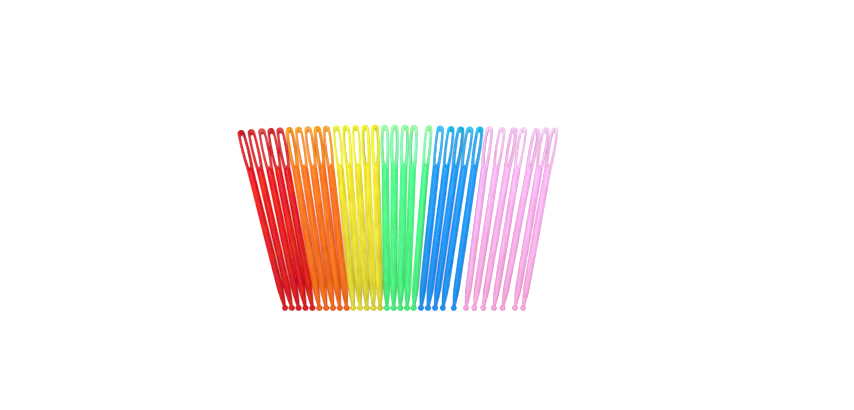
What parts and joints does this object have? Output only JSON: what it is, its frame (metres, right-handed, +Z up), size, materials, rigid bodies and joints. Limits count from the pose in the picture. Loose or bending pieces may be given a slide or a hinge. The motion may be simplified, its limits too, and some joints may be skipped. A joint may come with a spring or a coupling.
{
  "type": "yarn needle set",
  "caption": "Fanned set of blunt ball-tipped plastic yarn needles with long eyes, laid side by side in bands of colour; each needle lifts out on its own.",
  "frame": {"origin": "on the table, under the middle of the set's overall box", "axes": "+X across the fan from the red needles to the pink ones, +Y from the ball tips to the eyes, +Z up off the table"},
  "size_m": [0.1552, 0.0902, 0.0036],
  "materials": {
    "red_plastic": "glossy, slightly translucent",
    "orange_plastic": "glossy, slightly translucent",
    "yellow_plastic": "glossy, slightly translucent",
    "green_plastic": "glossy, slightly translucent",
    "blue_plastic": "glossy, slightly translucent",
    "pink_plastic": "glossy, slightly translucent"
  },
  "bodies": {
    "red_needle_1": {"red_needle_1": "red_plastic"},
    "red_needle_2": {"red_needle_2": "red_plastic"},
    "red_needle_3": {"red_needle_3": "red_plastic"},
    "red_needle_4": {"red_needle_4": "red_plastic"},
    "red_needle_5": {"red_needle_5": "red_plastic"},
    "orange_needle_1": {"orange_needle_1": "orange_plastic"},
    "orange_needle_2": {"orange_needle_2": "orange_plastic"},
    "orange_needle_3": {"orange_needle_3": "orange_plastic"},
    "orange_needle_4": {"orange_needle_4": "orange_plastic"},
    "orange_needle_5": {"orange_needle_5": "orange_plastic"},
    "yellow_needle_1": {"yellow_needle_1": "yellow_plastic"},
    "yellow_needle_2": {"yellow_needle_2": "yellow_plastic"},
    "yellow_needle_3": {"yellow_needle_3": "yellow_plastic"},
    "yellow_needle_4": {"yellow_needle_4": "yellow_plastic"},
    "yellow_needle_5": {"yellow_needle_5": "yellow_plastic"},
    "green_needle_1": {"green_needle_1": "green_plastic"},
    "green_needle_2": {"green_needle_2": "green_plastic"},
    "green_needle_3": {"green_needle_3": "green_plastic"},
    "green_needle_4": {"green_needle_4": "green_plastic"},
    "green_needle_5": {"green_needle_5": "green_plastic"},
    "blue_needle_1": {"blue_needle_1": "blue_plastic"},
    "blue_needle_2": {"blue_needle_2": "blue_plastic"},
    "blue_needle_3": {"blue_needle_3": "blue_plastic"},
    "blue_needle_4": {"blue_needle_4": "blue_plastic"},
    "blue_needle_5": {"blue_needle_5": "blue_plastic"},
    "pink_needle_1": {"pink_needle_1": "pink_plastic"},
    "pink_needle_2": {"pink_needle_2": "pink_plastic"},
    "pink_needle_3": {"pink_needle_3": "pink_plastic"},
    "pink_needle_4": {"pink_needle_4": "pink_plastic"},
    "pink_needle_5": {"pink_needle_5": "pink_plastic"},
    "pink_needle_6": {"pink_needle_6": "pink_plastic"},
    "pink_needle_7": {"pink_needle_7": "pink_plastic"}
  },
  "joints": [
    {"name": "red_needle_1_lift", "type": "slide", "parent": "green_needle_2", "child": "red_needle_1", "axis": [0, 0, 1], "range_m": [0, 0.02]},
    {"name": "red_needle_2_lift", "type": "slide", "parent": "green_needle_2", "child": "red_needle_2", "axis": [0, 0, 1], "range_m": [0, 0.02]},
    {"name": "red_needle_3_lift", "type": "slide", "parent": "green_needle_2", "child": "red_needle_3", "axis": [0, 0, 1], "range_m": [0, 0.02]},
    {"name": "red_needle_4_lift", "type": "slide", "parent": "green_needle_2", "child": "red_needle_4", "axis": [0, 0, 1], "range_m": [0, 0.02]},
    {"name": "red_needle_5_lift", "type": "slide", "parent": "green_needle_2", "child": "red_needle_5", "axis": [0, 0, 1], "range_m": [0, 0.02]},
    {"name": "orange_needle_1_lift", "type": "slide", "parent": "green_needle_2", "child": "orange_needle_1", "axis": [0, 0, 1], "range_m": [0, 0.02]},
    {"name": "orange_needle_2_lift", "type": "slide", "parent": "green_needle_2", "child": "orange_needle_2", "axis": [0, 0, 1], "range_m": [0, 0.02]},
    {"name": "orange_needle_3_lift", "type": "slide", "parent": "green_needle_2", "child": "orange_needle_3", "axis": [0, 0, 1], "range_m": [0, 0.02]},
    {"name": "orange_needle_4_lift", "type": "slide", "parent": "green_needle_2", "child": "orange_needle_4", "axis": [0, 0, 1], "range_m": [0, 0.02]},
    {"name": "orange_needle_5_lift", "type": "slide", "parent": "green_needle_2", "child": "orange_needle_5", "axis": [0, 0, 1], "range_m": [0, 0.02]},
    {"name": "yellow_needle_1_lift", "type": "slide", "parent": "green_needle_2", "child": "yellow_needle_1", "axis": [0, 0, 1], "range_m": [0, 0.02]},
    {"name": "yellow_needle_2_lift", "type": "slide", "parent": "green_needle_2", "child": "yellow_needle_2", "axis": [0, 0, 1], "range_m": [0, 0.02]},
    {"name": "yellow_needle_3_lift", "type": "slide", "parent": "green_needle_2", "child": "yellow_needle_3", "axis": [0, 0, 1], "range_m": [0, 0.02]},
    {"name": "yellow_needle_4_lift", "type": "slide", "parent": "green_needle_2", "child": "yellow_needle_4", "axis": [0, 0, 1], "range_m": [0, 0.02]},
    {"name": "yellow_needle_5_lift", "type": "slide", "parent": "green_needle_2", "child": "yellow_needle_5", "axis": [0, 0, 1], "range_m": [0, 0.02]},
    {"name": "green_needle_1_lift", "type": "slide", "parent": "green_needle_2", "child": "green_needle_1", "axis": [0, 0, 1], "range_m": [0, 0.02]},
    {"name": "green_needle_3_lift", "type": "slide", "parent": "green_needle_2", "child": "green_needle_3", "axis": [0, 0, 1], "range_m": [0, 0.02]},
    {"name": "green_needle_4_lift", "type": "slide", "parent": "green_needle_2", "child": "green_needle_4", "axis": [0, 0, 1], "range_m": [0, 0.02]},
    {"name": "green_needle_5_lift", "type": "slide", "parent": "green_needle_2", "child": "green_needle_5", "axis": [0, 0, 1], "range_m": [0, 0.02]},
    {"name": "blue_needle_1_lift", "type": "slide", "parent": "green_needle_2", "child": "blue_needle_1", "axis": [0, 0, 1], "range_m": [0, 0.02]},
    {"name": "blue_needle_2_lift", "type": "slide", "parent": "green_needle_2", "child": "blue_needle_2", "axis": [0, 0, 1], "range_m": [0, 0.02]},
    {"name": "blue_needle_3_lift", "type": "slide", "parent": "green_needle_2", "child": "blue_needle_3", "axis": [0, 0, 1], "range_m": [0, 0.02]},
    {"name": "blue_needle_4_lift", "type": "slide", "parent": "green_needle_2", "child": "blue_needle_4", "axis": [0, 0, 1], "range_m": [0, 0.02]},
    {"name": "blue_needle_5_lift", "type": "slide", "parent": "green_needle_2", "child": "blue_needle_5", "axis": [0, 0, 1], "range_m": [0, 0.02]},
    {"name": "pink_needle_1_lift", "type": "slide", "parent": "green_needle_2", "child": "pink_needle_1", "axis": [0, 0, 1], "range_m": [0, 0.02]},
    {"name": "pink_needle_2_lift", "type": "slide", "parent": "green_needle_2", "child": "pink_needle_2", "axis": [0, 0, 1], "range_m": [0, 0.02]},
    {"name": "pink_needle_3_lift", "type": "slide", "parent": "green_needle_2", "child": "pink_needle_3", "axis": [0, 0, 1], "range_m": [0, 0.02]},
    {"name": "pink_needle_4_lift", "type": "slide", "parent": "green_needle_2", "child": "pink_needle_4", "axis": [0, 0, 1], "range_m": [0, 0.02]},
    {"name": "pink_needle_5_lift", "type": "slide", "parent": "green_needle_2", "child": "pink_needle_5", "axis": [0, 0, 1], "range_m": [0, 0.02]},
    {"name": "pink_needle_6_lift", "type": "slide", "parent": "green_needle_2", "child": "pink_needle_6", "axis": [0, 0, 1], "range_m": [0, 0.02]},
    {"name": "pink_needle_7_lift", "type": "slide", "parent": "green_needle_2", "child": "pink_needle_7", "axis": [0, 0, 1], "range_m": [0, 0.02]}
  ]
}
